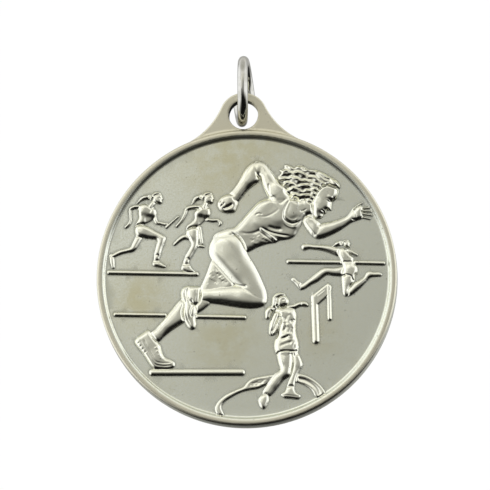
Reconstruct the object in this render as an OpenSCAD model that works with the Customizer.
// Struck athletics medal that hangs from an open jump ring.
// Frame: origin at the centre of the jump ring, where a ribbon passes; +Z up, the struck face looks along -Y.

/* [Disc] */
// Diameter of the disc over its rim
disc_d = 50; // [40:1:70]
// Thickness of the disc at its rim
rim_t = 3.4; // [3:0.1:4]
// Depth of the flat field below the rim, on each face
field_depth = 0.45; // [0.3:0.05:0.6]
// Width of the flat land on top of the rim
land_w = 0.45; // [0.3:0.05:1]
// Width in plan of the bevel from the land down to the field
bevel_w = 0.5; // [0.3:0.05:0.8]
// Radius of the rim's rounded outer edges
edge_r = 0.4; // [0.2:0.05:0.6]

/* [Eyelet] */
// Thickness of the eyelet's ear
ear_t = 2.5; // [1.8:0.1:2.6]
// Diameter of the hole through the ear
eye_d = 4.9; // [4.4:0.1:5.2]
// Height of the hole's centre above the disc's edge
eye_rise = 2.7; // [2.6:0.05:2.9]
// Radius of the ear's round top
ear_r = 4.05; // [3.9:0.05:4.4]
// Height of the ear's top above the disc's edge
ear_rise = 6.45; // [6.3:0.05:6.8]
// Radius of the hollow curve on each side, where the ear runs out along the disc
flare_r = 12.5; // [8:0.5:16]

/* [Jump ring] */
// Diameter of the ring's wire
wire_d = 1.75; // [1.4:0.05:2]
// Diameter of the circle that the wire's centre follows
ring_d = 10.1; // [9.6:0.1:11]
// Sideways distance between the wire's two ends, which lie beside each other
ring_lap = 2.1; // [1.9:0.05:2.2]
// Height of the wire's centre below the hole's centre
wire_drop = 0.85; // [0.6:0.05:1]
// Lean of the ring's top to the left, in degrees
ring_lean = 3; // [0:0.5:4]
// Turn of the ring's front to the right about the vertical, in degrees
ring_turn = 2; // [0:0.5:2]

/* [Relief] */
// Turn of the struck scene about the disc's centre, away from the eyelet's own upright, in degrees
scene_turn = -1.3; // [-3:0.1:3]
// Height over half-width of the large figure's limbs
large_flat = 0.4; // [0.3:0.02:0.5]
// Height over half-width of the small figures' limbs
small_flat = 0.62; // [0.4:0.02:0.8]
// Height of the ground lines and the hurdle above the field
line_h = 0.32; // [0.2:0.02:0.4]

/* [Hidden] */

silver = "silver";
polished = "gainsboro";
round_fn = 96;
limb_fn = 10;
arc_steps = 6;

disc_r = disc_d / 2;
eye_r = eye_d / 2;
eye_z = disc_r + eye_rise;
ear_z = disc_r + ear_rise - ear_r;
ring_r = ring_d / 2;
wire_r = wire_d / 2;
disc_z = -(ring_r - wire_drop + eye_z);
rim_y = rim_t / 2;
field_y = rim_y - field_depth;
land_r = disc_r - edge_r;
field_r = land_r - land_w - bevel_w;
drawn_d = 49.5;
scene_scale = disc_d / drawn_d;
scene_shift = [0.1, -0.12];
relief_top = 1.1;

// ---- Struck blank: disc, raised rims and eyelet ear ----

// Half of the disc's section, from its axis out over one face's field, bevel, land and rounded edge
function half_section(side) = concat(
    [[0, side * field_y], [field_r, side * field_y], [field_r + bevel_w, side * rim_y]],
    [for (i = [0 : arc_steps]) let (t = 90 - 90 * i / arc_steps)
        [land_r + edge_r * cos(t), side * (rim_y - edge_r + edge_r * sin(t))]]
);

function reversed(points) = [for (i = [len(points) - 1 : -1 : 0]) points[i]];

module disc() {
    rotate([90, 0, 0])
        rotate_extrude($fn = round_fn)
            polygon(concat(reversed(half_section(-1)), half_section(1)));
}

// The hollow curve touches both the disc's edge and the ear's round top
flare_z = (pow(disc_r + flare_r, 2) - pow(ear_r + flare_r, 2) + ear_z * ear_z) / (2 * ear_z);
flare_x = sqrt(pow(disc_r + flare_r, 2) - flare_z * flare_z);
foot = [flare_x, flare_z] * disc_r / (disc_r + flare_r);
crown = [0, ear_z] + [flare_x, flare_z - ear_z] * ear_r / (ear_r + flare_r);

module ear_outline() {
    difference() {
        union() {
            translate([0, ear_z])
                circle(r = ear_r, $fn = round_fn);
            polygon([
                [-foot[0], foot[1]], [0, field_r], [foot[0], foot[1]], [flare_x, flare_z],
                crown, [-crown[0], crown[1]], [-flare_x, flare_z]
            ]);
        }
        for (side = [-1, 1])
            translate([side * flare_x, flare_z])
                circle(r = flare_r, $fn = round_fn);
        circle(r = land_r - land_w / 2, $fn = round_fn);
    }
}

module ear() {
    translate([0, ear_t / 2, 0])
        rotate([90, 0, 0])
            linear_extrude(ear_t)
                ear_outline();
}

module medal_blank() {
    color(silver)
        translate([0, 0, disc_z])
            difference() {
                union() {
                    disc();
                    ear();
                }
                translate([0, ear_t / 2 + 1, eye_z])
                    rotate([90, 0, 0])
                        cylinder(r = eye_r, h = ear_t + 2, $fn = round_fn);
            }
}

// ---- Jump ring: one turn of wire whose ends lie side by side behind the medal ----

ring_steps = 48;
wire_sides = 14;
end_gap = 2;

function ring_point(i, j) =
    let (
        turn = -180 + end_gap + (360 - 2 * end_gap) * i / ring_steps,
        around = 360 * j / wire_sides,
        reach = ring_r + wire_r * cos(around)
    )
    [ring_lap * turn / 360 + wire_r * sin(around), -reach * cos(turn), reach * sin(turn)];

module jump_ring() {
    points = [for (i = [0 : ring_steps]) for (j = [0 : wire_sides - 1]) ring_point(i, j)];
    sides = [for (i = [0 : ring_steps - 1]) for (j = [0 : wire_sides - 1])
        let (a = i * wire_sides, k = (j + 1) % wire_sides)
        [a + j, a + k, a + wire_sides + k, a + wire_sides + j]];
    first_end = [for (j = [wire_sides - 1 : -1 : 0]) j];
    last_end = [for (j = [0 : wire_sides - 1]) ring_steps * wire_sides + j];
    color(polished)
        rotate([0, -ring_lean, 0])
            rotate([0, 0, ring_turn])
                polyhedron(points, concat(sides, [first_end, last_end]), convexity = 4);
}

// ---- Relief: each figure stands on the front field, drawn as seen from the front ----
// A limb is a list of [x, y, half-width] from the disc's centre, in millimetres on a disc of drawn_d.

module on_field() {
    translate([0, -field_y, disc_z])
        rotate([90, 0, 0])
            translate(scene_shift)
                rotate([0, 0, scene_turn])
                    scale(scene_scale)
                        children();
}

module above_field() {
    intersection() {
        union() children();
        translate([-disc_r, -disc_r, 0])
            cube([disc_d, disc_d, relief_top]);
    }
}

module lump(p, flat) {
    translate([p[0], p[1], 0])
        scale([1, 1, flat])
            sphere(r = p[2], $fn = limb_fn);
}

module limb(chain, flat) {
    for (i = [0 : len(chain) - 2])
        hull() {
            lump(chain[i], flat);
            lump(chain[i + 1], flat);
        }
}

sprinter_limbs = [
    // far leg: thigh, shin, then the shoe pushing off the ground
    [[-4.4, 2.4, 2], [-6.3, -1.6, 1.8], [-8, -4.3, 1.3], [-11.2, -6, 1.7], [-13.3, -7.9, 1.45], [-15.4, -9.8, 1.1]],
    [[-17, -10.3, 1.3], [-15.5, -13, 1.2], [-13, -14.3, 0.8]],
    // near leg: thigh, folded shin, shoe behind
    [[-3.4, 5.2, 2.9], [0.9, -1.6, 2], [1.5, -3, 1.7]],
    [[1.5, -3.1, 1.7], [-4.5, -2.9, 1.5], [-8.6, -2.9, 1.1]],
    [[-9.6, -3, 1.1], [-9.5, -7.2, 0.9]],
    // trunk, from the hips to the neck
    [[-2.6, 6.2, 2.2], [2, 8.1, 2.5], [4.8, 9.8, 3.1], [7.6, 10.4, 1.8], [10, 12, 1.3]],
    // raised arm behind: upper arm, forearm, fist
    [[5, 13.2, 1.8], [3.2, 16.4, 1.3], [1.8, 18.2, 1.2], [-0.1, 15.8, 1.2], [-2, 13.7, 0.8]],
    [[-2.8, 12.9, 1.2], [-3.8, 12.4, 1.2]],
    // leading arm: upper arm, forearm, palm, fingers
    [[9.8, 9.6, 1.4], [11.4, 7.9, 1.2], [14, 8.6, 1], [16.8, 10.1, 0.8], [18.3, 11, 1]],
    [[18.9, 11.6, 0.35], [20.1, 11.5, 0.25]],
    [[18.9, 10.9, 0.35], [20.2, 10.9, 0.25]],
    [[18.7, 10.3, 0.35], [20.2, 10.2, 0.25]],
    // head and streaming hair
    [[11.6, 13, 1.6], [12.9, 13.6, 2]],
    [[12.6, 15.6, 1.8], [9.6, 16.6, 2], [6.6, 17.3, 1.3]],
    [[10.6, 15, 1.5], [8.2, 14.6, 1.1]]
];

rear_runner_limbs = [
    [[-14.9, 13.4, 0.9], [-15.4, 13.7, 0.8]],
    [[-16, 13.3, 0.5], [-17.8, 13.1, 0.3]],
    [[-15.6, 13, 0.5], [-16.6, 11.4, 1.1], [-17, 10.2, 0.85], [-17.8, 8.4, 0.9]],
    [[-17.4, 11.8, 0.4], [-19.3, 11.7, 0.35], [-19.4, 10, 0.3], [-20, 8.8, 0.35]],
    [[-15.6, 11.2, 0.4], [-15, 9.6, 0.3], [-13.3, 9.1, 0.3]],
    [[-13.3, 8.8, 0.25], [-11.6, 10.3, 0.2]],
    [[-17.8, 8.1, 0.95], [-14.2, 6.9, 0.6], [-15, 3.2, 0.35]],
    [[-15.2, 2.7, 0.35], [-13.8, 2.2, 0.3]],
    [[-18, 7.7, 0.7], [-18.9, 5, 0.5], [-22.1, 4, 0.35]],
    [[-22.2, 3.8, 0.4], [-22, 2.4, 0.35]]
];

front_runner_limbs = [
    [[-6.6, 13.5, 0.85], [-7, 13.7, 0.8]],
    [[-7.8, 13.7, 0.4], [-8.8, 13, 0.35]],
    [[-6.9, 12.9, 0.5], [-7.3, 11.4, 0.9], [-7.6, 10.2, 0.8], [-8.9, 8.3, 0.8]],
    [[-7.7, 11.6, 0.4], [-9.9, 11.6, 0.35], [-11.6, 8.9, 0.3]],
    [[-6.9, 10, 0.35], [-6.4, 9.5, 0.3], [-4.6, 9.1, 0.3]],
    [[-9, 8, 0.8], [-8.7, 5.8, 0.6], [-10, 2.8, 0.35]],
    [[-10.2, 2.2, 0.4], [-9.2, 1.7, 0.3]],
    [[-9.6, 7.2, 0.5], [-10.6, 6.8, 0.45], [-11.9, 5.7, 0.3]],
    [[-8.3, 8.2, 0.5], [-7.6, 5.5, 0.35]]
];

hurdler_limbs = [
    [[16.4, 5.6, 0.7], [15.6, 5.6, 0.6], [14.4, 5.6, 0.3]],
    [[16, 5, 0.5], [15.8, 4, 0.8], [16.6, 2.3, 0.95], [16.9, 0.9, 1.1]],
    [[15.2, 4.4, 0.5], [12.6, 4.9, 0.4], [9.5, 5.1, 0.35]],
    [[16.4, 4.5, 0.35], [18, 3.8, 0.3]],
    [[16, 1.1, 0.6], [12.6, 1, 0.5], [9.4, -1.3, 0.45]],
    [[9.2, -1.4, 0.45], [7.6, -0.3, 0.3]],
    [[16.6, 0.3, 0.85], [16.2, -2.5, 0.6], [19.6, 0, 0.45]],
    [[19.7, 0.3, 0.4], [21.8, 0.4, 0.35]]
];

putter_limbs = [
    [[5.5, -3.8, 1.1], [5.4, -4.4, 1]],
    [[6, -5.4, 0.9], [6.6, -6.6, 1.3], [6.5, -9, 1.5], [6.4, -11.4, 1.7]],
    [[7, -5.5, 0.6], [8.6, -4.7, 0.45], [9.6, -4.6, 0.45]],
    [[4.7, -5.2, 0.55], [3.4, -6, 0.65], [3.5, -6.6, 0.4]],
    [[5.1, -6.9, 0.6], [3.9, -9.3, 0.5]],
    [[6.2, -12.7, 1.1], [6.3, -15.7, 0.95], [3.3, -19.3, 0.55]],
    [[2.8, -20, 0.7], [2.7, -21.5, 0.5]],
    [[7.8, -12.4, 0.7], [8.5, -14.7, 0.6], [7, -18.5, 0.4]],
    [[6.6, -19.2, 0.45], [8.2, -19.8, 0.35]]
];

module figure(limbs, flat) {
    color(polished)
        on_field()
            above_field()
                for (chain = limbs)
                    limb(chain, flat);
}

module sprinter() { figure(sprinter_limbs, large_flat); }
module rear_relay_runner() { figure(rear_runner_limbs, small_flat); }
module front_relay_runner() { figure(front_runner_limbs, small_flat); }
module hurdler() { figure(hurdler_limbs, small_flat); }
module shot_putter() { figure(putter_limbs, small_flat); }

// A bar with round ends between two points, standing on the field
module bar(a, b, half_w, h) {
    length = norm(b - a);
    angle = atan2(b[1] - a[1], b[0] - a[0]);
    translate([a[0], a[1], 0])
        rotate([0, 0, angle]) {
            translate([0, -half_w, 0])
                cube([length, 2 * half_w, h]);
            for (x = [0, length])
                translate([x, 0, 0])
                    cylinder(r = half_w, h = h, $fn = 24);
        }
}

module hurdle() {
    color(polished)
        on_field() {
            bar([11.1, -3.5], [11.3, -10.4], 0.42, line_h);
            bar([13.5, -1.6], [13.6, -6.8], 0.33, line_h);
            linear_extrude(line_h)
                polygon([[10.8, -3], [13.4, -1.2], [13.4, -3], [11.4, -4.7]]);
        }
}

// Left arm of the ring, its raised stop board, and the board's run beyond the putter's feet
circle_left = [
    [-3.7, -22.6], [-4.4, -22.7], [-5, -21.8], [-4.9, -20.8], [-4.2, -19.9], [-2.8, -19],
    [-1.2, -18.3], [-0.1, -17.9], [0.3, -17.2], [1.6, -16.6], [3.3, -16.2], [2.7, -17.4],
    [1.8, -18.5], [0, -18.9], [-1.8, -19.5], [-3.3, -20.3], [-4.1, -21.4]
];
circle_right = [
    [8.6, -16.35], [9.6, -16.5], [10.8, -17.2], [11.8, -18.2], [12.5, -19.4], [11.4, -19.9],
    [10.8, -18.9], [9.8, -18.1], [8.2, -17.5]
];

module throwing_circle() {
    color(polished)
        on_field()
            linear_extrude(line_h)
                for (outline = [circle_left, circle_right])
                    polygon(outline);
}

ground_bars = [
    [[-22.6, 1.05], [-8.3, 0.65], 0.28],
    [[-21.8, -5.95], [-13.9, -6.15], 0.28],
    [[-7.4, -6.4], [-0.4, -6.7], 0.28],
    [[-15.5, -15.75], [-0.9, -15.75], 0.5],
    [[6.8, 2.55], [14.7, 2.4], 0.26],
    [[18.2, 2.3], [22.3, 2.2], 0.26]
];

module ground_lines() {
    color(polished)
        on_field()
            for (b = ground_bars)
                bar(b[0], b[1], b[2], line_h);
}

jump_ring();
medal_blank();
sprinter();
rear_relay_runner();
front_relay_runner();
hurdler();
hurdle();
shot_putter();
throwing_circle();
ground_lines();
